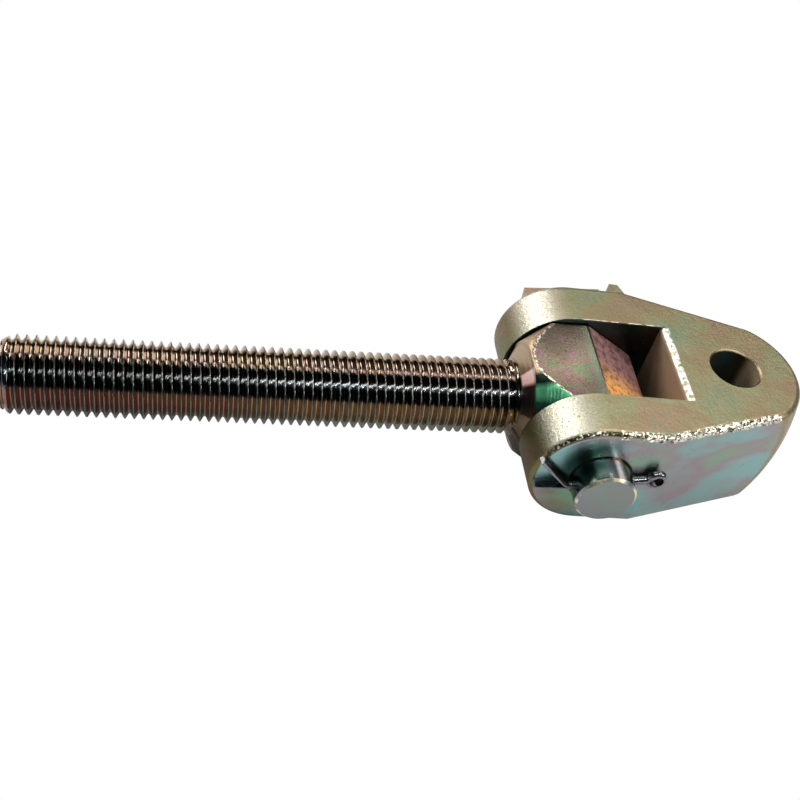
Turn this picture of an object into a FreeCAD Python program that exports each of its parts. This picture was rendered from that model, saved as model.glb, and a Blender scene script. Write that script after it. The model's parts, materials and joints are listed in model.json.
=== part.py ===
"""Clevis rod end: a threaded spindle whose forged head swings in a fork on a cross pin.

Millimetres. The row's origin is the middle of the fork's tongue hole. +X points from the spindle towards the
fork's nose, +Y along the cross pin towards its head, +Z up. Every body is drawn about the pivot, where the
pin's axis crosses the middle of the slot, and is then set in its place.
"""

import FreeCAD, Part
import math
import os

import Sketcher

SIZES = {
    # spindle
    "rod_diameter": 30.0,            # over the thread's crests
    "rod_reach": 225.0,              # pivot to free end
    "shank_diameter": 29.4,          # plain length between thread and shoulder
    "shank_length": 6.0,
    "tip_bevel_length": 4.0,
    "tip_bevel_depth": 2.2,
    # forged head
    "head_height": 45.0,
    "head_side_play": 0.7,           # each side, in the fork's slot
    "shoulder_reach": 25.0,          # pivot to the turned shoulder
    "shoulder_diameter": 45.0,
    "shoulder_blend": 3.5,
    "shoulder_cone_angle": 33.0,     # degrees from the spindle's axis
    "head_facet_start": 2.5,
    "head_facet_angle": 34.0,        # degrees down from the head's flats
    "head_end_radius": 26.0,         # about the pivot
    "head_edge_round": 2.2,
    # fork
    "fork_thickness": 50.0,
    "fork_width": 84.0,
    "slot_width": 42.0,
    "slot_reach": 33.0,              # pivot to the slot's end wall
    "end_round_offset": 2.8,         # cheek rounds are struck this far behind the pivot
    "tongue_hole_reach": 60.0,       # pivot to tongue hole
    "tongue_hole_diameter": 21.0,
    "nose_reach": 57.6,              # pivot to the centre of the nose round
    "nose_radius": 29.9,             # at the top and bottom faces
    "nose_crown": 3.0,               # more than that at half height
    "nose_corner": 0.6,              # the nose round stands this far past the tapered sides
    "nose_blend": 10.0,              # softens the corners between the sides and the nose
    "taper_angle": 17.0,             # each side of the tongue, degrees
    "fork_edge_round": 2.6,
    "slot_end_round": 2.4,
    "hole_bevel": 0.7,
    # stop lug on the far cheek
    "lug_gap": 0.3,
    "lug_crest": 3.6,
    "lug_foot": 7.4,
    "lug_height": 42.0,
    "lug_stand": 9.0,
    "lug_round": 1.2,
    # cross pin
    "pin_diameter": 24.0,
    "pin_play": 0.08,                # radial, in fork and head
    "pin_end_stand": 11.0,           # past the near cheek
    "pin_end_bevel": 1.0,
    "pin_head_side": 33.0,
    "pin_head_thickness": 8.8,
    "pin_head_bevel": 1.0,
    "pin_turn": 5.5,                 # degrees, as it rests against the lug
    # split pin
    "wire_diameter": 3.6,            # both half-round legs together
    "wire_play": 0.15,               # radial, in the pin's cross hole
    "wire_parting": 0.1,             # between the two legs
    "wire_setback": 9.0,             # from the pin's end
    "wire_turn": 10.5,               # degrees, eye raised
    "eye_stand": 5.2,                # straight wire between the pin and the eye's neck
    "eye_radius": 2.6,               # inside the eye
    "neck_radius": 2.6,
    "leg_bend_radius": 4.0,
    "long_leg_length": 16.5,
    "long_leg_bend": 53.0,
    "short_leg_length": 13.5,
    "short_leg_bend": 8.0,
}

document = FreeCAD.newDocument("clevis_rod_end")
sheet = document.addObject("Spreadsheet::Sheet", "dims")
for line, (alias, number) in enumerate(SIZES.items(), start=1):
    sheet.set(f"A{line}", alias)
    sheet.set(f"B{line}", str(number))
    sheet.setAlias(f"B{line}", alias)
document.recompute()


def value(formula):
    """The number that a formula on the sheet's values has now."""
    result = sheet.evalExpression(formula)
    return float(getattr(result, "Value", result))


def new_body(name):
    body = document.addObject("PartDesign::Body", name)
    body.Label = name
    return body


def new_sketch(body, name, role):
    """An empty sketch on one of the body's own origin planes."""
    sketch = body.newObject("Sketcher::SketchObject", name)
    plane = next(item for item in body.Origin.OriginFeatures if item.Role == role)
    sketch.AttachmentSupport = (plane, "")
    sketch.MapMode = "FlatFace"
    document.recompute()
    return sketch


def bind(sketch, kind, geometry, point, formula):
    """Hold a point's distance from the sketch origin along one axis to a formula."""
    index = sketch.addConstraint(Sketcher.Constraint(kind, -1, 1, geometry, point, value(formula)))
    sketch.setExpression(f"Constraints[{index}]", formula)


def draw(sketch, corners, closed=True):
    """A chain through corners: (x, y) starts a line, (x, y, "ccw" | "cw", centre x, centre y) an arc."""
    count = len(corners)
    last = count if closed else count - 1
    pieces = []
    for i in range(last):
        start, end = corners[i], corners[(i + 1) % count]
        a = FreeCAD.Vector(value(start[0]), value(start[1]), 0)
        b = FreeCAD.Vector(value(end[0]), value(end[1]), 0)
        if len(start) == 2:
            pieces.append((sketch.addGeometry(Part.LineSegment(a, b)), 1, 2))
            continue
        centre = FreeCAD.Vector(value(start[3]), value(start[4]), 0)
        turn_a, turn_b = (math.atan2(p.y - centre.y, p.x - centre.x) for p in (a, b))
        circle = Part.Circle(centre, FreeCAD.Vector(0, 0, 1), (a - centre).Length)
        if start[2] == "ccw":
            pieces.append((sketch.addGeometry(Part.ArcOfCircle(circle, turn_a, turn_b)), 1, 2))
        else:
            pieces.append((sketch.addGeometry(Part.ArcOfCircle(circle, turn_b, turn_a)), 2, 1))
    for i, (geometry, head, tail) in enumerate(pieces):
        bind(sketch, "DistanceX", geometry, head, corners[i][0])
        bind(sketch, "DistanceY", geometry, head, corners[i][1])
        if closed or i + 1 < last:
            other, other_head, _ = pieces[(i + 1) % last]
            sketch.addConstraint(Sketcher.Constraint("Coincident", geometry, tail, other, other_head))
        else:
            bind(sketch, "DistanceX", geometry, tail, corners[-1][0])
            bind(sketch, "DistanceY", geometry, tail, corners[-1][1])
        if len(corners[i]) > 2:
            a, b = corners[i], corners[(i + 1) % count]
            across = abs(value(a[0]) - value(b[0])) < abs(value(a[1]) - value(b[1]))
            bind(sketch, *(("DistanceX", geometry, 3, a[3]) if across else ("DistanceY", geometry, 3, a[4])))
    document.recompute()
    return sketch


def draw_circle(sketch, x, y, diameter):
    circle = Part.Circle(FreeCAD.Vector(value(x), value(y), 0), FreeCAD.Vector(0, 0, 1), value(diameter) / 2)
    geometry = sketch.addGeometry(circle)
    bind(sketch, "DistanceX", geometry, 3, x)
    bind(sketch, "DistanceY", geometry, 3, y)
    index = sketch.addConstraint(Sketcher.Constraint("Diameter", geometry, value(diameter)))
    sketch.setExpression(f"Constraints[{index}]", diameter)
    document.recompute()
    return sketch


def frame_round(sketch, reach):
    """A square far outside the piece, so that a pocket keeps only what the inner outline holds."""
    far = f"({reach})"
    return draw(sketch, [(f"-{far}", f"-{far}"), (far, f"-{far}"), (far, far), (f"-{far}", far)])


def pad(body, sketch, length):
    feature = body.newObject("PartDesign::Pad", sketch.Name + "_pad")
    feature.Profile = sketch
    feature.SideType = "Symmetric"
    feature.setExpression("Length", length)
    document.recompute()
    return feature


def pocket(body, sketch):
    """Cut right through, both ways from the sketch."""
    before = body.Shape.Volume
    feature = body.newObject("PartDesign::Pocket", sketch.Name + "_pocket")
    feature.Profile = sketch
    feature.SideType = "Symmetric"
    feature.Type = "ThroughAll"
    document.recompute()
    if body.Shape.Volume > before - 1e-3:
        raise RuntimeError(f"{feature.Name} cuts nothing")
    return feature


def edges_where(feature, test):
    """Names of the edges whose start, middle and end all pass a test."""
    names = []
    for number, edge in enumerate(feature.Shape.Edges, start=1):
        first, last = edge.FirstParameter, edge.LastParameter
        if all(test(edge.valueAt(at)) for at in (first, (first + last) / 2, last)):
            names.append(f"Edge{number}")
    if not names:
        raise RuntimeError(f"{feature.Name} has no such edge")
    return names


def dress(body, kind, name, test, size):
    """A fillet or chamfer over every edge that passes the test."""
    base = body.Tip
    feature = body.newObject(f"PartDesign::{kind}", name)
    feature.Base = (base, edges_where(base, test))
    feature.setExpression("Radius" if kind == "Fillet" else "Size", size)
    document.recompute()
    return feature


SLACK = 0.02


def near(a, b):
    return abs(a - b) < SLACK


# The tapered side's distance from the nose's centre, where it leaves the parallel side, and where it would
# reach the line through the nose's furthest point.
TAPER = "dims.taper_angle * 1deg"
SIDE_REACH = "(dims.nose_radius - dims.nose_corner)"
BEND_X = f"(dims.nose_reach + ({SIDE_REACH} - dims.fork_width / 2 * cos({TAPER})) / sin({TAPER}))"
NOSE_X = "(dims.nose_reach + dims.nose_radius + dims.nose_crown)"
NOSE_Y = f"(dims.fork_width / 2 - ({NOSE_X} - {BEND_X}) * tan({TAPER}))"
END_X = "(-dims.end_round_offset)"
HALF_FORK = "(dims.fork_thickness / 2)"
HALF_WIDTH = "(dims.fork_width / 2)"
OUTSIDE = "(dims.rod_reach + dims.fork_width)"
BORE = "(dims.pin_diameter + 2 * dims.pin_play)"
# The pin's square head, turned against the lug, and the split pin's hole, which has a turn of its own.
PIN_TURN = "dims.pin_turn * 1deg"
WIRE_TURN = "dims.wire_turn * 1deg"
LUG_X = f"(dims.pin_head_side / 2 * (cos({PIN_TURN}) + sin({PIN_TURN})) + dims.lug_gap)"


def turn_nose(body):
    """Turn the nose about its own upright axis to a crowned profile, between the two tapered sides."""
    crown = "dims.nose_crown"
    radius = f"(({HALF_FORK} * {HALF_FORK} + {crown} * {crown}) / (2 * {crown}))"
    centre = f"({NOSE_X} - {radius})"
    # The cut passes the top and bottom faces by the crown.
    over = f"({HALF_FORK} + {crown})"
    start = f"({centre} + sqrt({radius} * {radius} - {over} * {over}))"
    clear = f"({NOSE_X} + {HALF_WIDTH})"
    sketch = draw(new_sketch(body, "nose_turning", "XZ_Plane"), [
        (start, f"-{over}", "ccw", centre, "0"),
        (start, over),
        (clear, over),
        (clear, f"-{over}"),
    ])
    axis = Part.LineSegment(FreeCAD.Vector(value("dims.nose_reach"), 0, 0),
                            FreeCAD.Vector(value("dims.nose_reach"), value(over), 0))
    geometry = sketch.addGeometry(axis, True)
    bind(sketch, "DistanceX", geometry, 1, "dims.nose_reach")
    bind(sketch, "DistanceY", geometry, 1, "0")
    bind(sketch, "DistanceX", geometry, 2, "dims.nose_reach")
    bind(sketch, "DistanceY", geometry, 2, over)
    before = body.Shape.Volume
    groove = body.newObject("PartDesign::Groove", "nose_round")
    groove.Profile = sketch
    groove.ReferenceAxis = (sketch, ["Axis0"])
    groove.Midplane = True
    groove.setExpression("Angle", f"2 * (90deg - {TAPER})")
    document.recompute()
    if body.Shape.Volume > before - 1e-3:
        raise RuntimeError("nose_round cuts nothing")

    side_reach = value(SIDE_REACH)
    taper = math.radians(value("dims.taper_angle"))
    nose_reach = value("dims.nose_reach")
    corner = taper + math.acos(side_reach / value("dims.nose_radius"))
    corner_x = nose_reach + value("dims.nose_radius") * math.sin(corner)

    def side_and_nose(point):
        """On a tapered side's flat, no further back than the nose round reaches."""
        distance = (point.x - nose_reach) * math.sin(taper) + abs(point.y) * math.cos(taper)
        return near(distance, side_reach) and point.x > corner_x - SLACK

    dress(body, "Fillet", "nose_blends", side_and_nose, "dims.nose_blend")


def make_fork():
    """Side view first, then the plan's taper, the crowned nose, the slot, the stop lug and the bores."""
    body = new_body("fork")
    side = draw(new_sketch(body, "fork_side", "XZ_Plane"), [
        (NOSE_X, f"-{HALF_FORK}"),
        (NOSE_X, HALF_FORK),
        (END_X, HALF_FORK, "ccw", END_X, "0"),
        (END_X, f"-{HALF_FORK}"),
    ])
    pad(body, side, "dims.fork_width")
    plan = frame_round(new_sketch(body, "fork_plan", "XY_Plane"), OUTSIDE)
    back = f"(-{OUTSIDE} / 2)"
    draw(plan, [
        (back, f"-{HALF_WIDTH}"),
        (BEND_X, f"-{HALF_WIDTH}"),
        (NOSE_X, f"-{NOSE_Y}"),
        (NOSE_X, NOSE_Y),
        (BEND_X, HALF_WIDTH),
        (back, HALF_WIDTH),
    ])
    pocket(body, plan)
    turn_nose(body)
    slot = draw(new_sketch(body, "slot", "XY_Plane"), [
        (back, "-dims.slot_width / 2"),
        ("dims.slot_reach", "-dims.slot_width / 2"),
        ("dims.slot_reach", "dims.slot_width / 2"),
        (back, "dims.slot_width / 2"),
    ])
    pocket(body, slot)

    top = value(HALF_FORK)
    half_width = value(HALF_WIDTH)
    slot_reach = value("dims.slot_reach")
    bend_x = value(BEND_X)

    def on_outline(point):
        """On the side view's outline: the flats, or the rounds of the cheeks' ends."""
        return near(abs(point.z), top) or near(math.hypot(point.x - value(END_X), point.z), top)

    def slot_end(point):
        return near(point.x, slot_reach) and near(abs(point.z), top)

    def outer_rim(point):
        beside_slot = near(abs(point.y), half_width)
        return on_outline(point) and (beside_slot or point.x > bend_x - SLACK) and not slot_end(point)

    dress(body, "Fillet", "fork_rounds", outer_rim, "dims.fork_edge_round")
    dress(body, "Fillet", "slot_end_rounds", slot_end, "dims.slot_end_round")

    mid_cheek = "((dims.slot_width + dims.fork_width) / 4)"
    lug = draw(new_sketch(body, "lug", "XY_Plane"), [
        (LUG_X, mid_cheek),
        (f"{LUG_X} + dims.lug_foot", mid_cheek),
        (f"{LUG_X} + dims.lug_foot", f"{HALF_WIDTH} - dims.lug_round"),
        (f"{LUG_X} + dims.lug_crest", f"{HALF_WIDTH} + dims.lug_stand"),
        (LUG_X, f"{HALF_WIDTH} + dims.lug_stand"),
    ])
    pad(body, lug, "dims.lug_height")
    crest = half_width + value("dims.lug_stand")
    dress(body, "Fillet", "lug_rounds", lambda point: near(point.y, crest), "dims.lug_round")

    pocket(body, draw_circle(new_sketch(body, "pin_bore", "XZ_Plane"), "0", "0", BORE))
    tongue = draw_circle(new_sketch(body, "tongue_hole", "XY_Plane"),
                         "dims.tongue_hole_reach", "0", "dims.tongue_hole_diameter")
    pocket(body, tongue)
    hole_reach = value("dims.tongue_hole_reach")
    hole_radius = value("dims.tongue_hole_diameter / 2")
    bore_radius = value(BORE) / 2

    def hole_rim(point):
        return near(math.hypot(point.x - hole_reach, point.y), hole_radius) and near(abs(point.z), top)

    def bore_rim(point):
        return near(math.hypot(point.x, point.z), bore_radius) and near(abs(point.y), half_width)

    dress(body, "Chamfer", "tongue_bevels", hole_rim, "dims.hole_bevel")
    dress(body, "Chamfer", "bore_bevels", bore_rim, "dims.hole_bevel")
    return body


def make_spindle():
    """Turned profile, then the head trimmed to its flats, facets and round end, then bored for the pin."""
    body = new_body("threaded_spindle")
    rod = "(dims.rod_diameter / 2)"
    shank = "(dims.shank_diameter / 2)"
    shoulder = "(dims.shoulder_diameter / 2)"
    blend = "dims.shoulder_blend"
    blend_x = f"(-dims.shoulder_reach - {blend})"
    thread_end = "(-dims.shoulder_reach - dims.shank_length)"
    past_head = "(dims.head_end_radius + dims.head_edge_round)"
    turned = "(dims.head_height + dims.slot_width)"
    cone_run = f"(({turned} / 2 - {shoulder}) / tan(dims.shoulder_cone_angle * 1deg))"
    profile = draw(new_sketch(body, "turned_profile", "XZ_Plane"), [
        ("-dims.rod_reach", "0"),
        ("-dims.rod_reach", f"{rod} - dims.tip_bevel_depth"),
        ("-dims.rod_reach + dims.tip_bevel_length", rod),
        (thread_end, rod),
        (f"{thread_end} + ({rod} - {shank})", shank),
        (blend_x, shank, "ccw", blend_x, f"{shank} + {blend}"),
        ("-dims.shoulder_reach", f"{shank} + {blend}"),
        ("-dims.shoulder_reach", shoulder),
        (f"-dims.shoulder_reach + {cone_run}", f"{turned} / 2"),
        (past_head, f"{turned} / 2"),
        (past_head, "0"),
    ])
    spin = body.newObject("PartDesign::Revolution", "turned_blank")
    spin.Profile = profile
    spin.ReferenceAxis = (profile, ["H_Axis"])
    spin.Angle = 360
    document.recompute()

    half = "(dims.head_height / 2)"
    slope = "dims.head_facet_angle * 1deg"
    # The facet's distance from the pivot, and where it meets the round end.
    drop = f"(dims.head_facet_start * sin({slope}) + {half} * cos({slope}))"
    meet = f"(90deg - {slope} - acos({drop} / dims.head_end_radius))"
    meet_x = f"(dims.head_end_radius * cos({meet}))"
    meet_z = f"(dims.head_end_radius * sin({meet}))"
    side = frame_round(new_sketch(body, "head_side", "XZ_Plane"), OUTSIDE)
    left = "(-dims.rod_reach - dims.rod_diameter)"
    draw(side, [
        (left, f"-{half}"),
        ("dims.head_facet_start", f"-{half}"),
        (meet_x, f"-{meet_z}", "ccw", "0", "0"),
        (meet_x, meet_z),
        ("dims.head_facet_start", half),
        (left, half),
    ])
    pocket(body, side)
    wide = "(dims.slot_width / 2 - dims.head_side_play)"
    plan = frame_round(new_sketch(body, "head_plan", "XY_Plane"), OUTSIDE)
    draw(plan, [(left, f"-{wide}"), (past_head, f"-{wide}"), (past_head, wide), (left, wide)])
    pocket(body, plan)

    facet_x = value("dims.head_facet_start")
    flat = value(half)

    def facet_edge(point):
        return near(point.x, facet_x) and near(abs(point.z), flat)

    dress(body, "Fillet", "head_rounds", facet_edge, "dims.head_edge_round")
    pocket(body, draw_circle(new_sketch(body, "head_bore", "XZ_Plane"), "0", "0", BORE))
    return body


def make_cross_pin():
    """Round shaft with a level cross hole, and a square head turned from square by its own angle."""
    body = new_body("cross_pin")
    shaft = "(dims.pin_diameter / 2)"
    near_end = f"(-{HALF_WIDTH} - dims.pin_end_stand)"
    head_top = f"({HALF_WIDTH} + dims.pin_head_thickness)"
    profile = draw(new_sketch(body, "pin_profile", "XY_Plane"), [
        ("0", near_end),
        (f"{shaft} - dims.pin_end_bevel", near_end),
        (shaft, f"{near_end} + dims.pin_end_bevel"),
        (shaft, HALF_WIDTH),
        ("dims.pin_head_side", HALF_WIDTH),
        ("dims.pin_head_side", head_top),
        ("0", head_top),
    ])
    spin = body.newObject("PartDesign::Revolution", "pin_blank")
    spin.Profile = profile
    spin.ReferenceAxis = (profile, ["V_Axis"])
    spin.Angle = 360
    document.recompute()
    square = frame_round(new_sketch(body, "pin_head", "XZ_Plane"), OUTSIDE)
    turn = f"({PIN_TURN} - {WIRE_TURN})"
    less = f"(dims.pin_head_side / 2 * (cos{turn} - sin{turn}))"
    more = f"(dims.pin_head_side / 2 * (cos{turn} + sin{turn}))"
    draw(square, [(f"-{less}", f"-{more}"), (more, f"-{less}"), (less, more), (f"-{more}", less)])
    pocket(body, square)
    top = value(head_top)
    dress(body, "Chamfer", "head_bevels", lambda point: near(point.y, top), "dims.pin_head_bevel")
    hole = draw_circle(new_sketch(body, "split_pin_hole", "YZ_Plane"),
                       f"{near_end} + dims.wire_setback", "0", "dims.wire_diameter + 2 * dims.wire_play")
    pocket(body, hole)
    return body


def make_split_pin():
    """One half-round wire folded on itself: a long leg bent up, the eye, and a nearly straight short leg."""
    body = new_body("split_pin")
    part = "(dims.wire_parting / 2)"
    shaft = "(dims.pin_diameter / 2)"
    bend = "dims.leg_bend_radius"
    # The neck arc meets the leg at neck_x and the eye where the two circles touch.
    neck_x = f"({shaft} + dims.eye_stand)"
    span = "(dims.neck_radius + dims.eye_radius)"
    rise = f"(dims.neck_radius + {part})"
    eye_x = f"({neck_x} + sqrt({span} * {span} - {rise} * {rise}))"
    touch_x = f"({eye_x} + ({neck_x} - {eye_x}) * dims.eye_radius / {span})"
    touch_z = f"({rise} * dims.eye_radius / {span})"
    long_turn = "dims.long_leg_bend * 1deg"
    short_turn = "dims.short_leg_bend * 1deg"
    bend_x = f"(-{shaft} - dims.wire_play)"
    long_x = f"({bend_x} - {bend} * sin({long_turn}))"
    long_z = f"({part} + {bend} * (1 - cos({long_turn})))"
    short_x = f"({bend_x} - {bend} * sin({short_turn}))"
    short_z = f"(-{part} + {bend} * (1 - cos({short_turn})))"
    path = draw(new_sketch(body, "wire_path", "XZ_Plane"), [
        (f"{long_x} - dims.long_leg_length * cos({long_turn})",
         f"{long_z} + dims.long_leg_length * sin({long_turn})"),
        (long_x, long_z, "ccw", bend_x, f"{part} + {bend}"),
        (bend_x, part),
        (neck_x, part, "ccw", neck_x, f"{part} + dims.neck_radius"),
        (touch_x, touch_z, "cw", eye_x, "0"),
        (touch_x, f"-{touch_z}", "ccw", neck_x, f"-{part} - dims.neck_radius"),
        (neck_x, f"-{part}"),
        (bend_x, f"-{part}", "cw", bend_x, f"-{part} + {bend}"),
        (short_x, short_z),
        (f"{short_x} - dims.short_leg_length * cos({short_turn})",
         f"{short_z} + dims.short_leg_length * sin({short_turn})"),
    ], closed=False)
    # The section starts on the long leg's tip, square to the leg, with its round side outward.
    section = body.newObject("Sketcher::SketchObject", "wire_section")
    section.AttachmentSupport = [(path, "Edge1"), (path, "Vertex1")]
    section.MapMode = "NormalToEdge"
    document.recompute()
    half_wire = "(dims.wire_diameter / 2)"
    draw(section, [(half_wire, "0", "ccw", "0", "0"), (f"-{half_wire}", "0")])
    wire = body.newObject("PartDesign::AdditivePipe", "folded_wire")
    wire.Profile = section
    wire.Spine = path
    document.recompute()
    return body


def settle(body, angle, shift="0"):
    """Set a body at the pivot, turned about the pin's axis and moved along it."""
    body.setExpression("Placement.Base.x", "-dims.tongue_hole_reach")
    body.setExpression("Placement.Base.y", shift)
    body.Placement.Rotation = FreeCAD.Rotation(FreeCAD.Vector(0, 1, 0), 0)
    body.setExpression("Placement.Rotation.Angle", angle)


# The spindle droops until the edge behind its tip's bevel touches the ground.
LOW_EDGE = "(dims.rod_reach - dims.tip_bevel_length)"
LOW_RADIUS = "(dims.rod_diameter / 2)"
REACH = f"sqrt({LOW_EDGE} * {LOW_EDGE} + {LOW_RADIUS} * {LOW_RADIUS})"
DROOP = f"(asin({HALF_FORK} / {REACH}) - asin({LOW_RADIUS} / {REACH}))"

fork = make_fork()
spindle = make_spindle()
cross_pin = make_cross_pin()
split_pin = make_split_pin()
settle(fork, "0")
settle(spindle, f"-{DROOP}")
settle(cross_pin, f"-{WIRE_TURN}")
settle(split_pin, f"-{WIRE_TURN}", shift=f"-{HALF_WIDTH} - dims.pin_end_stand + dims.wire_setback")
document.recompute()

for item in document.Objects:
    if "Invalid" in item.State or "Error" in item.State:
        raise RuntimeError(f"{item.Name} failed: {item.State}")

os.makedirs("parts", exist_ok=True)
for body in (fork, spindle, cross_pin, split_pin):
    shape = body.Shape
    if shape.isNull() or not shape.isValid() or len(shape.Solids) != 1:
        raise RuntimeError(f"{body.Label} is not one valid solid")
    shape.exportStep(f"parts/{body.Label}.step")
    box = shape.optimalBoundingBox()
    print(body.Label, round(shape.Volume, 1),
          [round(c, 2) for c in (box.XMin, box.XMax, box.YMin, box.YMax, box.ZMin, box.ZMax)])
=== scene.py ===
"""Finish and studio for the clevis rod end: rolled thread, forged and milled steel, yellow zinc plating."""

import json
import math

import bpy
from mathutils import Matrix, Vector


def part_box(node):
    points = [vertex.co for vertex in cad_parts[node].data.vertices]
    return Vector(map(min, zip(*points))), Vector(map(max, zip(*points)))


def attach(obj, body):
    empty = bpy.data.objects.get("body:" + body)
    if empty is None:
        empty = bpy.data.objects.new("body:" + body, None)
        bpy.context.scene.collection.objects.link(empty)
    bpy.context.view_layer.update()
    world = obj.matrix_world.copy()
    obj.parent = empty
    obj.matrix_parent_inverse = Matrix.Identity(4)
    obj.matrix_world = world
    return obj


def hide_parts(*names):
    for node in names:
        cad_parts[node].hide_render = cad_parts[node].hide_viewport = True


MM = 0.001
LENGTHWAYS = (1, 0, 0)
ACROSS = (0, 1, 0)
UP = (0, 0, 1)

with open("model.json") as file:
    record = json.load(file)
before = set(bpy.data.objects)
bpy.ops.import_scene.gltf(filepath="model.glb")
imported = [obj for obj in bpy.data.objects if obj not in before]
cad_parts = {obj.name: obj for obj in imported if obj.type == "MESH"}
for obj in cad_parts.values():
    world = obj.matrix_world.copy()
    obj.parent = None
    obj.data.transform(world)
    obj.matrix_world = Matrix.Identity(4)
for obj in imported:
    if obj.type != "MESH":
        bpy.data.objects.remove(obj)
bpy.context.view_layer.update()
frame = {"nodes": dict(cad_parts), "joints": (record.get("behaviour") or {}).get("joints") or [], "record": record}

mounts = {mount["name"]: mount for mount in frame["record"]["mounts"]}
pivot = Vector(frame["joints"][0]["pos_m"])
rod_axis = Vector(mounts["thread"]["axis"])
rod_up = Vector(ACROSS).cross(rod_axis).normalized()
rod_turn = rod_axis.to_track_quat("Z", "Y").to_euler()
rod_radius = mounts["thread"]["dims"]["r_mm"] * MM
fork_low, fork_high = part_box("fork")
spindle_low, spindle_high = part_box("threaded_spindle")
floor_height = fork_low.z

# Thread, to the usual metric proportions of its pitch. Distances along the rod are from the pivot
PITCH = 3.5 * MM
FLANK_ANGLE = math.radians(30)
ROOT_DEPTH = PITCH * math.sqrt(3) / 2 * 17 / 24
GROOVE_AT_CREST = PITCH * 7 / 8
ROOT_ROUND = 0.3 * MM
THREAD_PHASE = math.radians(-165)
THREAD_START = 26.0 * MM
RUNOUT_START = 32.0 * MM
RUNOUT_END = 28.9 * MM
SHANK_RADIUS = 14.7 * MM
FLARE_LENGTH = 4.2 * MM

# Turned cone that breaks through the head's flats, in millimetres from the pivot along the rod
SHOULDER_REACH = 25.0
SHOULDER_RADIUS = 22.5
SHOULDER_SLOPE = math.tan(math.radians(33))

# The fork's near top edge, which carries the burr from behind the corner where the taper starts
FORK_EDGE_ROUND = 2.6 * MM
TAPER_ANGLE = math.radians(17)
TAPER_START = -38.6 * MM
BURR_BEHIND = 21 * MM
BURR_AHEAD = 53 * MM
BURR_STEP = 0.35 * MM

# Places that the fork's and the pin's finishes follow, in millimetres
PIN_PLACE = (-60, -42, 0)
SLOT_SIDE = 21.0
SLOT_END_ROUND = -25.6

# Camera: the side and height that it looks from, its roll, place, lens and shift
CAMERA_AZIMUTH = -18.592
CAMERA_ELEVATION = 43.804
CAMERA_ROLL = 17.494
CAMERA_PLACE = Vector((-246.14, -335.15, 330.54)) * MM
CAMERA_LENS = 55.33
CAMERA_SHIFT = (0.0028, 0.0009)

FLOOR_RADIUS = 4.0

# Lights: azimuth and elevation in degrees, size in metres, watts
SOFTBOX_DISTANCE = 1.6
SOFTBOXES = {
    "back_left": (-142, 29, (0.9, 0.6), 16),
    "back_right": (146, 38, (1.5, 0.9), 1.7),
    "overhead": (170, 66, (2.2, 0.09), 11),
    "overhead_right": (138, 60, (0.8, 0.16), 5),
    "front_strip": (16, 60, (2.2, 0.04), 24),
    "front_right": (60, 30, (0.5, 0.4), 6),
}


# ---------------------------------------------------------------- modelling helpers

def deselect():
    if bpy.context.object and bpy.context.object.mode != "OBJECT":
        bpy.ops.object.mode_set(mode="OBJECT")
    bpy.ops.object.select_all(action="DESELECT")


def take(piece):
    """Select one piece alone and make it active."""
    deselect()
    piece.select_set(True)
    bpy.context.view_layer.objects.active = piece
    return piece


def named(name):
    """Name the piece that was just made."""
    piece = bpy.context.object
    piece.name = name
    piece.data.name = name
    return piece


def set_down(piece):
    """Move the piece's place into its mesh."""
    take(piece)
    bpy.ops.object.transform_apply(location=True, rotation=True, scale=True)
    return piece


def modify(piece, kind, **settings):
    """Add one modifier with its settings and apply it."""
    take(piece)
    modifier = piece.modifiers.new(kind.lower(), kind)
    for key, setting in settings.items():
        setattr(modifier, key, setting)
    bpy.ops.object.modifier_apply(modifier=modifier.name)
    return piece


def pick(piece, mode, test):
    """Enter edit mode with only the vertices, edges or faces selected that pass the test."""
    take(piece)
    mesh = piece.data
    for group in (mesh.vertices, mesh.edges, mesh.polygons):
        for element in group:
            element.select = False
    if mode == "VERT":
        for vertex in mesh.vertices:
            vertex.select = test(vertex.co)
    elif mode == "EDGE":
        for edge in mesh.edges:
            a, b = (mesh.vertices[i].co for i in edge.vertices)
            edge.select = test(a, b)
    else:
        for face in mesh.polygons:
            face.select = test(face.center, face.normal)
    bpy.ops.object.mode_set(mode="EDIT")
    bpy.ops.mesh.select_mode(type=mode)


def done():
    bpy.ops.object.mode_set(mode="OBJECT")


def tidy_normals(piece):
    """Merge doubles and turn every face outward."""
    take(piece)
    bpy.ops.object.mode_set(mode="EDIT")
    bpy.ops.mesh.select_all(action="SELECT")
    bpy.ops.mesh.remove_doubles(threshold=1e-6)
    bpy.ops.mesh.normals_make_consistent(inside=False)
    done()
    return piece


def smooth(piece, degrees):
    take(piece)
    bpy.ops.object.shade_smooth_by_angle(angle=math.radians(degrees))
    return piece


def copy_of(node, name):
    """A merged copy of a CAD node, as a piece of its own."""
    piece = bpy.data.objects.new(name, frame["nodes"][node].data.copy())
    piece.data.name = name
    bpy.context.scene.collection.objects.link(piece)
    piece.data.materials.clear()
    return tidy_normals(piece)


def combine(piece, tool, operation):
    """Boolean with a tool, which is used up."""
    modify(piece, "BOOLEAN", operation=operation, solver="MANIFOLD", object=tool)
    bpy.data.objects.remove(tool)
    return piece


# ---------------------------------------------------------------- spindle

def along_rod(distance):
    """A place on the spindle's axis, that far from the pivot."""
    return pivot + rod_axis * distance


def rod_cone(name, vertices, near_radius, far_radius, near, length):
    """Cone on the spindle's axis, from one distance along it outward."""
    deselect()
    bpy.ops.mesh.primitive_cone_add(
        vertices=vertices, radius1=near_radius, radius2=far_radius, depth=length,
        location=along_rod(near + length / 2), rotation=rod_turn)
    return set_down(named(name))


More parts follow.
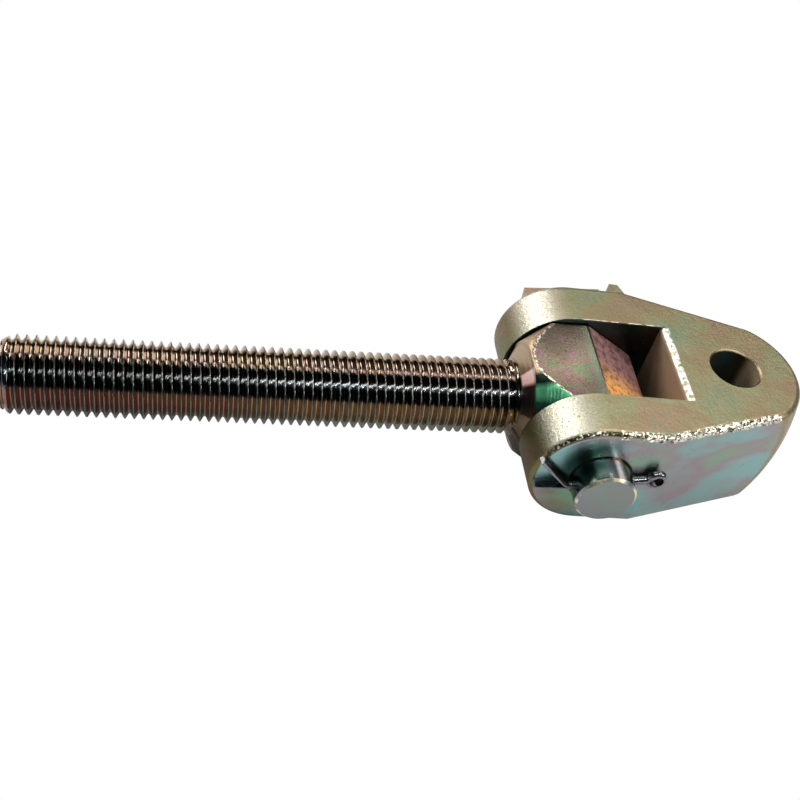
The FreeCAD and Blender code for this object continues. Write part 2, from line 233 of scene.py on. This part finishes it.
def make_thread_groove(rod_end):
    """The groove between two crests, swept as a helix from the runout past the free end."""
    outside = rod_radius + 0.25 * MM
    inside = rod_radius - ROOT_DEPTH
    wide = GROOVE_AT_CREST + 2 * (outside - rod_radius) * math.tan(FLANK_ANGLE)
    narrow = wide - 2 * (outside - inside) * math.tan(FLANK_ANGLE)
    deselect()
    bpy.ops.mesh.primitive_plane_add(size=1, rotation=(math.pi / 2, 0, 0))
    groove = named("thread_groove")
    groove.scale = (outside - inside, wide, 1)
    groove.location = ((outside + inside) / 2, 0, 0)
    set_down(groove)
    pick(groove, "VERT", lambda place: place.x < (outside + inside) / 2)
    bpy.ops.transform.resize(value=(1, 1, narrow / wide), center_override=(inside, 0, 0))
    bpy.ops.mesh.bevel(offset=ROOT_ROUND, segments=3, affect="VERTICES")
    done()
    turns = math.ceil((rod_end + PITCH - THREAD_START) / PITCH)
    modify(groove, "SCREW", axis="Z", angle=2 * math.pi, screw_offset=PITCH, iterations=turns,
           steps=40, render_steps=40, use_merge_vertices=False)
    # Close both ends of the sweep
    pick(groove, "EDGE", lambda a, b: False)
    bpy.ops.mesh.select_non_manifold()
    bpy.ops.mesh.edge_face_add()
    done()
    groove.rotation_euler = (0, 0, THREAD_PHASE)
    set_down(groove)
    groove.rotation_euler = rod_turn
    groove.location = along_rod(THREAD_START)
    set_down(groove)
    return tidy_normals(groove)


def make_flare():
    """Cone from the shoulder's edge down to the shank, trimmed to the head's sides."""
    flare = rod_cone("flare", 128, (SHOULDER_RADIUS - 0.4) * MM, SHANK_RADIUS - 0.2 * MM,
                     (SHOULDER_REACH - 0.3) * MM, FLARE_LENGTH)
    for reach, way in ((spindle_high.y - 0.1 * MM, 1), (spindle_low.y + 0.1 * MM, -1)):
        pick(flare, "VERT", lambda place: True)
        bpy.ops.mesh.bisect(plane_co=(0, reach, 0), plane_no=(0, way, 0), clear_outer=True, use_fill=True)
        done()
    return tidy_normals(flare)


def make_spindle():
    """The forged head and rod with its thread cut, the thread's runout and the flare at the shoulder."""
    piece = copy_of("threaded_spindle", "spindle")
    rod_end = max((v.co - pivot).dot(rod_axis) for v in piece.data.vertices)
    combine(piece, make_thread_groove(rod_end), "DIFFERENCE")
    # The groove runs out over a cone, where the die was lifted
    root = rod_radius - ROOT_DEPTH
    runout = rod_cone("runout", 96, SHANK_RADIUS, root - 0.2 * MM, RUNOUT_END, RUNOUT_START - RUNOUT_END)
    combine(piece, runout, "UNION")
    combine(piece, make_flare(), "UNION")
    return smooth(piece, 28)


# ---------------------------------------------------------------- burr along the milled edge

def make_burr():
    """Jagged torn metal left on the near top edge where the side was milled."""
    corner = Vector((TAPER_START, fork_low.y, fork_high.z))
    straight = Vector(LENGTHWAYS)
    tapered = Vector((math.cos(TAPER_ANGLE), math.sin(TAPER_ANGLE), 0))
    strips = []
    for start, way, length in ((corner - straight * BURR_BEHIND, straight, BURR_BEHIND),
                               (corner, tapered, BURR_AHEAD)):
        outward = Vector((way.y, -way.x, 0))
        inset = outward * FORK_EDGE_ROUND + Vector((0, 0, FORK_EDGE_ROUND))
        deselect()
        bpy.ops.mesh.primitive_cylinder_add(
            vertices=64, radius=FORK_EDGE_ROUND, depth=length, end_fill_type="NOTHING",
            location=start + way * length / 2 - inset, rotation=way.to_track_quat("Z", "Y").to_euler())
        strip = set_down(named("burr_strip"))
        pick(strip, "FACE", lambda centre, normal: normal.z < 0.02 or normal.dot(outward) < 0.02)
        bpy.ops.mesh.delete(type="FACE")
        done()
        pick(strip, "EDGE", lambda a, b: abs((a - b).dot(way)) > length / 2)
        bpy.ops.mesh.subdivide(number_cuts=int(length / BURR_STEP))
        done()
        strips.append(strip)
    deselect()
    for strip in strips:
        strip.select_set(True)
    bpy.context.view_layer.objects.active = strips[0]
    bpy.ops.object.join()
    burr = named("burr_edge")
    for name, grain, strength in (("torn", 2.0 * MM, 1.6 * MM), ("crumbs", 0.8 * MM, 0.5 * MM)):
        texture = bpy.data.textures.new(name, "CLOUDS")
        texture.noise_scale = grain
        modify(burr, "DISPLACE", texture=texture, strength=strength, mid_level=0.5)
    modify(burr, "SOLIDIFY", thickness=0.5 * MM, offset=-1)
    # Nothing stands above the fork's top face
    highest = fork_high.z - 0.02 * MM
    pick(burr, "VERT", lambda place: place.z > highest)
    bpy.ops.transform.resize(value=(1, 1, 0), center_override=(0, 0, highest))
    done()
    return smooth(tidy_normals(burr), 35)


# ---------------------------------------------------------------- shader expressions

def colour(red, green, blue):
    """Linear colour from an 8-bit display colour."""
    return (*((channel / 255) ** 2.2 for channel in (red, green, blue)), 1.0)


class Value:
    """A shader socket that adds Math nodes when it is used in an expression."""

    def __init__(self, nodes, socket):
        self.nodes = nodes
        self.socket = socket

    def __add__(self, other):
        return self.nodes.maths("ADD", self, other)

    __radd__ = __add__

    def __mul__(self, other):
        return self.nodes.maths("MULTIPLY", self, other)

    __rmul__ = __mul__

    def __sub__(self, other):
        return self.nodes.maths("SUBTRACT", self, other)

    def __rsub__(self, other):
        return self.nodes.maths("SUBTRACT", other, self)

    def __truediv__(self, other):
        return self.nodes.maths("DIVIDE", self, other)

    def __rtruediv__(self, other):
        return self.nodes.maths("DIVIDE", other, self)

    def __abs__(self):
        return self.nodes.maths("ABSOLUTE", self)

    def least(self, other):
        return self.nodes.maths("MINIMUM", self, other)

    def most(self, other):
        return self.nodes.maths("MAXIMUM", self, other)

    def rise(self, low, high):
        """0 below low, 1 above high, smooth between."""
        return self.nodes.node("ShaderNodeMapRange", {"interpolation_type": "SMOOTHSTEP"},
                               {"Value": self, "From Min": low, "From Max": high})

    def fall(self, low, high):
        """1 below low, 0 above high, smooth between."""
        return 1 - self.rise(low, high)

    def near(self, middle, full, none):
        """1 up to full from the middle, 0 beyond none."""
        return abs(self - middle).fall(full, none)


class Nodes:
    """The node tree of a material or world, with a single method for every kind of node."""

    def __init__(self, owner):
        owner.use_nodes = True
        self.tree = owner.node_tree

    def node(self, kind, settings, sockets, output=0):
        made = self.tree.nodes.new(kind)
        for key, setting in settings.items():
            if key == "stops":
                elements = made.color_ramp.elements
                while len(elements) < len(setting):
                    elements.new(1.0)
                for element, (position, stop_colour) in zip(elements, setting):
                    element.position = position
                    element.color = stop_colour
            else:
                setattr(made, key, setting)
        for key, content in sockets.items():
            if isinstance(content, Value):
                self.tree.links.new(content.socket, made.inputs[key])
            else:
                made.inputs[key].default_value = content
        return Value(self, made.outputs[output])

    def maths(self, operation, *values):
        return self.node("ShaderNodeMath", {"operation": operation}, dict(enumerate(values)))

    def choose(self, factor, first, second, output):
        """Send the first or the second shader to the tree's output, by a factor of 0 or 1."""
        chosen = self.node("ShaderNodeMixShader", {}, {0: factor, 1: first, 2: second})
        self.tree.links.new(chosen.socket, self.tree.nodes[output].inputs[0])


class Finish(Nodes):
    """One metal. Its lengths are in millimetres."""

    def __init__(self, name):
        self.material = bpy.data.materials.new(name)
        super().__init__(self.material)
        self.shader = self.tree.nodes["Principled BSDF"]
        self.shader.inputs["Metallic"].default_value = 1.0
        self.normal = self.node("ShaderNodeTexCoord", {}, {}, "Normal")
        metres = self.node("ShaderNodeTexCoord", {}, {}, "Object")
        self.place = self.vectors("MULTIPLY", metres, (1 / MM, 1 / MM, 1 / MM))

    def vectors(self, operation, *values, output="Vector"):
        return self.node("ShaderNodeVectorMath", {"operation": operation}, dict(enumerate(values)), output)

    def along(self, vector, direction):
        """How far a vector reaches in a direction."""
        return self.vectors("DOT_PRODUCT", vector, tuple(direction), output="Value")

    def length(self, vector):
        return self.vectors("LENGTH", vector, output="Value")

    def distance(self, point):
        return self.vectors("DISTANCE", self.place, point, output="Value")

    def stretched(self, scale):
        return self.node("ShaderNodeMapping", {}, {"Vector": self.place, "Scale": scale})

    def noise(self, scale, detail=3.0, rough=0.5, vector=None, twist=0.0):
        return self.node("ShaderNodeTexNoise", {}, {
            "Vector": vector or self.place, "Scale": scale, "Detail": detail, "Roughness": rough,
            "Distortion": twist}, "Fac")

    def cells(self, scale):
        return self.node("ShaderNodeTexVoronoi", {}, {"Vector": self.place, "Scale": scale}, "Distance")

    def ramp(self, factor, *stops):
        """Colour by a factor. Each stop is a position and a display colour."""
        stops = [(position, colour(*channels)) for position, *channels in stops]
        return self.node("ShaderNodeValToRGB", {"stops": stops}, {"Fac": factor}, "Color")

    def mix(self, factor, a, b, blend="MIX"):
        settings = {"data_type": "RGBA", "blend_type": blend}
        return self.node("ShaderNodeMix", settings, {0: factor, 6: a, 7: b}, 2)

    def tint(self, factor, a, b):
        return self.mix(factor, a, b, "MULTIPLY")

    def surface(self, base, rough, height, relief, metallic=None):
        """Join the varying sockets. Relief is the strength of the height."""
        bump = self.node("ShaderNodeBump", {}, {"Strength": relief, "Distance": MM, "Height": height})
        varying = {"Base Color": base, "Roughness": rough, "Normal": bump, "Metallic": metallic}
        for name, content in varying.items():
            if content:
                self.tree.links.new(content.socket, self.shader.inputs[name])
        return self.material


# ---------------------------------------------------------------- finishes

def forged_grain(finish):
    """Scale pits and orange peel of a forging."""
    swell = finish.noise(0.12, 2.0)
    peel = finish.noise(0.9, 4.0, 0.6)
    pits = finish.cells(0.7).rise(0.05, 0.35)
    return swell * 0.5 + peel * 0.42 + pits * 0.08


def fork_finish():
    finish = Finish("plated_forging")
    x, y, z = (finish.along(finish.place, way) for way in (LENGTHWAYS, ACROSS, UP))
    milled = abs(finish.along(finish.normal, ACROSS)).rise(0.90, 0.97)
    forging = 1 - milled
    # Yellow chromate film over zinc: olive and tan, running to rose and sea green
    drift = finish.noise(0.035, 2.0, 0.5, twist=0.4) * 0.75 + finish.noise(0.25, 3.0, 0.6) * 0.25
    forged = finish.ramp(drift, (0.34, 126, 136, 110), (0.44, 138, 136, 106), (0.52, 142, 128, 98),
                         (0.60, 144, 124, 102), (0.70, 126, 134, 108))
    streaks = finish.noise(1.0, 2.0, 0.4, vector=finish.stretched((0.018, 0.1, 0.07)))
    side = finish.ramp(streaks, (0.30, 122, 168, 168), (0.42, 128, 168, 168), (0.50, 134, 158, 160),
                       (0.58, 146, 134, 140), (0.68, 130, 152, 136))
    rose = finish.distance((-24, -42, -6)).fall(4.0, 20.0)
    side = finish.mix(rose * 0.7, side, colour(150, 132, 138))
    olive = finish.distance((-71, -42, -13)).fall(4.0, 14.0)
    side = finish.tint(olive * 0.7, side, colour(236, 240, 170))
    base = finish.mix(milled, forged, side)
    # Painted dark reflection of the pin on the milled face, above and behind the pin
    from_pin = finish.vectors("SUBTRACT", finish.place, PIN_PLACE)
    pin_reflection = finish.along(from_pin, (-0.80, 0, 0.60)).rise(5.0, 15.0)
    pin_reflection = pin_reflection * finish.distance(PIN_PLACE).fall(16.0, 24.0) * milled
    base = finish.tint(pin_reflection * 0.85, base, colour(62, 96, 92))
    # Painted highlights in broken patches along the slot's far top edge and on its rounded end
    broken = finish.noise(0.4, 3.0).rise(0.35, 0.6)
    far_edge_highlight = y.near(SLOT_SIDE, 0.2, 0.7) * z.rise(24.8, 24.95) * x.fall(-29.0, -27.0)
    base = finish.mix(far_edge_highlight * broken, base, colour(250, 235, 215))
    in_slot = abs(y).fall(20.4, 21.0)
    slot_end_highlight = x.near(SLOT_END_ROUND, 1.5, 2.0) * z.rise(22.6, 23.1)
    base = finish.mix(slot_end_highlight * in_slot * broken, base, colour(252, 248, 238))
    # Painted shade inside the slot and the tongue's hole; brown film on the end wall, with painted shade darker
    # toward the bottom
    slot_wall_shade = abs(y).near(SLOT_SIDE, 0.1, 0.4) * z.fall(24.0, 24.8)
    from_hole = finish.length(finish.vectors("MULTIPLY", finish.place, (1, 1, 0)))
    bore = from_hole.fall(10.6, 10.9)
    base = finish.tint(slot_wall_shade.most(bore), base, colour(140, 144, 136))
    end_wall = finish.along(finish.normal, (-1, 0, 0)).rise(0.6, 0.9) * in_slot
    end_wall_film_and_shade = finish.mix(z.rise(-10.0, 24.0), colour(96, 84, 62), colour(168, 146, 120))
    base = finish.mix(end_wall, base, end_wall_film_and_shade)
    # Painted highlight, pale, on top of the cheeks' round ends, and painted shade, olive, below
    cheek_end = x.fall(-76.0, -64.0)
    lit_from_above = finish.along(finish.normal, UP).rise(0.25, 0.7)
    base = finish.mix(cheek_end * lit_from_above * forging * 0.7, base, colour(200, 196, 182))
    base = finish.tint(cheek_end * (1 - lit_from_above) * forging * 0.6, base, colour(176, 166, 122))
    speckle = finish.noise(1.5, 3.0, 0.7).rise(0.56, 0.66)
    base = finish.tint(speckle * forging * (0.2 + cheek_end * 0.6), base, colour(140, 122, 84))
    # Rim of the milled side, torn in short dark notches, with bright patches of painted highlight
    toward_side = finish.along(finish.normal, (0, -1, 0))
    rim = toward_side.rise(0.3, 0.5) * toward_side.fall(0.8, 0.9) * z.rise(8.0, 16.0)
    rim = rim * from_hole.rise(12.0, 13.0) * x.fall(6.0, 12.0)
    torn = finish.noise(0.8, 3.0, 0.7)
    base = finish.mix(rim * torn.rise(0.44, 0.5), base, colour(46, 46, 34))
    # Painted highlight in bright patches on the rounded rim
    base = finish.mix(rim * torn.fall(0.38, 0.42), base, colour(244, 238, 224))
    grime = finish.noise(0.3, 4.0, 0.65).rise(0.55, 0.75)
    base = finish.tint(grime * 0.25, base, colour(160, 150, 130))
    lines = finish.noise(1.0, 2.0, 0.5, vector=finish.stretched((0.03, 2.5, 2.5)))
    height = forged_grain(finish) * forging * (0.5 + cheek_end * 0.5) + lines * milled * 0.05
    rough = 0.36 + finish.noise(0.5, 3.0) * 0.16 - milled * 0.14
    return finish.surface(base, rough, height, 0.6, 1 - (end_wall * 0.75).most(bore * 0.15))


def spindle_finish():
    finish = Finish("rolled_and_forged_steel")
    from_pivot = finish.vectors("SUBTRACT", finish.place, tuple(pivot / MM))
    out = finish.along(from_pivot, rod_axis)
    radius = finish.length(finish.vectors("CROSS_PRODUCT", from_pivot, tuple(rod_axis)))
    height_on_rod = finish.along(from_pivot, rod_up)
    side = finish.along(finish.place, (0, -1, 0))
    # Round the rod: 1 at the near side, 0.5 on top
    round_rod = side / radius * 0.5 + 0.5
    past_shoulder = out.rise(24.7, 25.2)

    # Head: mottled chromate with bright grains
    film = finish.noise(0.10, 4.0, 0.6, twist=0.6)
    head = finish.ramp(film, (0.30, 106, 124, 92), (0.42, 118, 122, 96), (0.50, 138, 106, 104),
                       (0.57, 120, 120, 94), (0.66, 144, 106, 116))
    grains = finish.cells(1.2).fall(0.02, 0.22)
    head = finish.mix(grains * 0.3, head, colour(206, 192, 170))
    speckle = finish.noise(1.3, 3.0, 0.7).rise(0.52, 0.62)
    head = finish.tint(speckle * 0.6, head, colour(158, 132, 122))
    # Painted highlight along the rounded edge between the head's top flat and its slanted flats
    edge_highlight = out.rise(-2.8, -1.0) * out.fall(-0.6, 2.8)
    head = finish.mix(edge_highlight * 0.6, head, colour(124, 138, 114))
    head = finish.tint(out.fall(-1.0, 13.0), head, colour(196, 198, 200))
    # Painted reflection on the slanted flats next to the fork: red-brown, orange toward the near side, mottled
    toward_fork = out.fall(-3.2, -2.4)
    facet_reflection = finish.mix(side.rise(-5.0, 15.0), colour(150, 112, 110), colour(244, 172, 92))
    mottle = finish.noise(0.35, 4.0, 0.8).rise(0.46, 0.58)
    facet_reflection = finish.tint(mottle * 0.7, facet_reflection, colour(120, 98, 92))
    head = finish.mix(toward_fork, head, facet_reflection)

    # Turned cone behind the flats: tan above, and on the near side a painted reflection, a sea-green streak
    # between black bands
    cone = SHOULDER_RADIUS + (SHOULDER_REACH - out) * SHOULDER_SLOPE - radius
    on_cone = abs(cone).fall(0.15, 0.5) * out.rise(5.0, 8.0)
    cone_film_and_reflection = finish.ramp(round_rod, (0.64, 170, 146, 116), (0.69, 36, 46, 40), (0.75, 30, 50, 42),
                            (0.79, 116, 214, 160), (0.84, 104, 196, 146), (0.88, 34, 78, 64),
                            (0.93, 28, 30, 30))
    # Flare and shank: tan above, a painted pink highlight, then a painted dark reflection
    flare = finish.ramp(round_rod, (0.57, 166, 142, 116), (0.60, 160, 124, 110), (0.62, 255, 222, 214),
                        (0.75, 255, 196, 188), (0.77, 80, 62, 64), (0.90, 66, 58, 56), (1.0, 110, 92, 72))
    turned = finish.mix(past_shoulder, cone_film_and_reflection, flare)
    base = finish.mix((on_cone + past_shoulder).least(1.0), head, turned)
    # Burr where the cone breaks through the flats
    burr = cone.rise(0.1, 0.3) * cone.fall(0.7, 1.3) * out.rise(8.0, 10.0) * out.fall(23.6, 24.3)
    burr = burr * finish.noise(0.7, 3.0).rise(0.46, 0.56)
    base = finish.mix(burr, base, colour(250, 236, 216))

    # Thread: film in the flanks, with painted reflections round the rod: gold on top, nearly black at the side,
    # red to olive below, grey-green at the bottom
    threaded = out.rise(28.0, 28.6)
    toward_end = out.rise(90.0, 190.0)
    below = height_on_rod.fall(4.0, 7.0)
    above = 1 - below
    flank = finish.ramp(finish.noise(0.05, 3.0, 0.5), (0.35, 146, 138, 134), (0.5, 150, 134, 128),
                        (0.65, 152, 142, 128))
    flank = finish.tint(height_on_rod.rise(11.5, 13.0), flank, colour(222, 216, 208))
    flank = finish.tint(round_rod.fall(0.38, 0.48), flank, colour(246, 226, 182))
    flank = finish.tint(round_rod.rise(0.61, 0.66) * above, flank, colour(124, 142, 152))
    # A row of painted highlights, white glints on the flanks that face the free end, fainter toward it
    facing_end = finish.along(finish.normal, rod_axis).rise(0.2, 0.5)
    glints = round_rod.near(0.82, 0.012, 0.04) * above * facing_end * (1 - toward_end * 0.75)
    flank = finish.mix(glints, flank, colour(255, 250, 250))
    below_reflection = finish.mix(toward_end, colour(244, 228, 184), colour(214, 176, 164))
    flank = finish.tint(below, flank, below_reflection)
    flank = finish.tint(height_on_rod.fall(-6.0, -1.0), flank, colour(206, 236, 226))
    # Crests are rubbed grey, which also stands for a painted highlight on their edges, less so on top
    crest = radius.rise(14.88, 14.98)
    on_top = height_on_rod.rise(11.0, 13.0)
    crest_wear_and_sheen = finish.mix(on_top, colour(98, 100, 98), colour(112, 104, 84))
    rod = finish.mix(crest * (1 - on_top * 0.6), flank, crest_wear_and_sheen)
    base = finish.mix(threaded, base, rod)

    rings = finish.maths("SINE", out * 5.4) * (1 - threaded)
    height = forged_grain(finish) * (1 - past_shoulder) + rings * (on_cone + past_shoulder) * 0.04
    rough = 0.36 - threaded * 0.26 + crest * threaded * 0.14 + finish.noise(0.6, 3.0) * 0.08
    highlight = round_rod.near(0.67, 0.05, 0.09) * past_shoulder * (1 - threaded)
    return finish.surface(base, rough, height, 0.4, 1 - toward_fork * 0.7 - highlight * 0.7)


def pin_finish():
    finish = Finish("turned_pin")
    base = finish.ramp(finish.noise(0.08, 3.0, 0.5, twist=0.5), (0.3, 124, 136, 128), (0.5, 128, 132, 130),
                       (0.7, 124, 128, 134))
    # Painted reflection in teal on the barrel's upper left, and painted highlights in bright patches on the bevel
    toward_end = abs(finish.along(finish.normal, ACROSS))
    barrel = toward_end.fall(0.2, 0.4)
    from_axis = finish.vectors("SUBTRACT", finish.place, (PIN_PLACE[0], 0, 0))
    teal_reflection = finish.along(from_axis, (-0.9, 0, 0.43)).rise(3.0, 10.0) * barrel
    base = finish.tint(teal_reflection * 0.7, base, colour(150, 196, 180))
    # Painted highlight, a bright streak along the top of the barrel
    barrel_highlight = finish.along(finish.normal, (0.29, 0, 0.957)).rise(0.976, 0.994) * barrel
    base = finish.mix(barrel_highlight, base, colour(252, 252, 244))
    bevel = toward_end.rise(0.4, 0.6) * toward_end.fall(0.85, 0.95)
    base = finish.mix(bevel * finish.noise(0.2, 3.0).rise(0.4, 0.6), base, colour(232, 214, 172))
    # The square head is as forged
    forged_head = finish.along(finish.place, ACROSS).rise(41.6, 42.4)
    tan = finish.ramp(finish.noise(0.09, 3.0, 0.6, twist=0.4), (0.35, 138, 146, 118), (0.5, 158, 146, 118),
                      (0.65, 156, 132, 114))
    base = finish.mix(forged_head, base, tan)
    rings = finish.noise(1.0, 2.0, 0.5, vector=finish.stretched((0.2, 3.0, 0.2)))
    rough = 0.26 + finish.noise(0.5, 3.0) * 0.14 - barrel * 0.14 * (1 - forged_head) + forged_head * 0.1
    height = rings * 0.05 + finish.noise(1.2, 3.0) * 0.05 + forged_grain(finish) * forged_head
    return finish.surface(base, rough, height, 0.3)


def wire_finish():
    finish = Finish("drawn_wire")
    wear = finish.noise(0.9, 3.0)
    base = finish.ramp(wear, (0.3, 80, 82, 88), (0.6, 132, 130, 132))
    return finish.surface(base, 0.14 + wear * 0.12, wear * 0.03, 0.2)


def burr_finish():
    finish = Finish("torn_edge")
    patch = finish.noise(0.9, 3.0, 0.6)
    base = finish.ramp(patch, (0.40, 70, 88, 74), (0.47, 214, 202, 180), (0.62, 250, 246, 238))
    return finish.surface(base, 0.2 + patch * 0.25, finish.noise(2.2, 3.0) * 0.3, 0.4)


def dress(piece, material):
    piece.data.materials.clear()
    piece.data.materials.append(material)


# ---------------------------------------------------------------- studio

def direction(azimuth, elevation):
    """Unit vector toward a view from that side and height."""
    a, e = math.radians(azimuth), math.radians(elevation)
    return Vector((math.sin(a) * math.cos(e), -math.cos(a) * math.cos(e), math.sin(e)))


def make_camera():
    back = direction(CAMERA_AZIMUTH, CAMERA_ELEVATION)
    a, roll = math.radians(CAMERA_AZIMUTH), math.radians(CAMERA_ROLL)
    level = Vector((math.cos(a), math.sin(a), 0))
    up = back.cross(level)
    right = level * math.cos(roll) + up * math.sin(roll)
    up = up * math.cos(roll) - level * math.sin(roll)
    camera = bpy.data.objects.new("camera", bpy.data.cameras.new("camera"))
    bpy.context.scene.collection.objects.link(camera)
    turn = Matrix((right, up, back)).transposed().to_4x4()
    camera.matrix_world = Matrix.Translation(CAMERA_PLACE) @ turn
    camera.data.lens = CAMERA_LENS
    camera.data.shift_x, camera.data.shift_y = CAMERA_SHIFT
    camera.data.clip_start = 0.01
    bpy.context.scene.camera = camera


def softbox(name, azimuth, elevation, size, power):
    light = bpy.data.lights.new(name, "AREA")
    light.shape = "RECTANGLE"
    light.size, light.size_y = size
    light.energy = power
    box = bpy.data.objects.new(name, light)
    bpy.context.scene.collection.objects.link(box)
    back = direction(azimuth, elevation)
    box.location = pivot + back * SOFTBOX_DISTANCE
    box.rotation_euler = back.to_track_quat("Z", "Y").to_euler()


def make_floor():
    """Pale floor, seen through and lit from above, so a spindle that swings below it still shows."""
    deselect()
    bpy.ops.mesh.primitive_circle_add(vertices=96, radius=FLOOR_RADIUS, fill_type="NGON",
                                      location=(0, 0, floor_height))
    floor = named("floor")
    material = bpy.data.materials.new("pale_floor")
    nodes = Nodes(material)
    shader = nodes.tree.nodes["Principled BSDF"]
    shader.inputs["Base Color"].default_value = (0.7, 0.7, 0.7, 1)
    shader.inputs["Roughness"].default_value = 1.0
    shader.inputs["Specular IOR Level"].default_value = 0.0
    seen = nodes.node("ShaderNodeLightPath", {}, {}, "Is Camera Ray")
    shadowing = nodes.node("ShaderNodeLightPath", {}, {}, "Is Shadow Ray")
    clear = nodes.node("ShaderNodeBsdfTransparent", {}, {})
    nodes.choose(seen.most(shadowing), Value(nodes, shader.outputs[0]), clear, "Material Output")
    floor.data.materials.append(material)


def make_world():
    """White to the camera, dim to everything else."""
    world = bpy.data.worlds.new("studio")
    bpy.context.scene.world = world
    nodes = Nodes(world)
    dim = nodes.tree.nodes["Background"]
    dim.inputs["Color"].default_value = (0.045, 0.045, 0.045, 1)
    pale = nodes.node("ShaderNodeBackground", {}, {"Color": (1, 1, 1, 1)})
    seen = nodes.node("ShaderNodeLightPath", {}, {}, "Is Camera Ray")
    nodes.choose(seen, Value(nodes, dim.outputs[0]), pale, "World Output")


spindle = make_spindle()
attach(spindle, "spindle")
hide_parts("threaded_spindle")
burr = make_burr()
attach(burr, "fork")

dress(spindle, spindle_finish())
dress(burr, burr_finish())
dress(frame["nodes"]["fork"], fork_finish())
dress(frame["nodes"]["cross_pin"], pin_finish())
dress(frame["nodes"]["split_pin"], wire_finish())

make_camera()
make_floor()
make_world()
for name, settings in SOFTBOXES.items():
    softbox(name, *settings)
bpy.context.scene.view_settings.view_transform = "Standard"
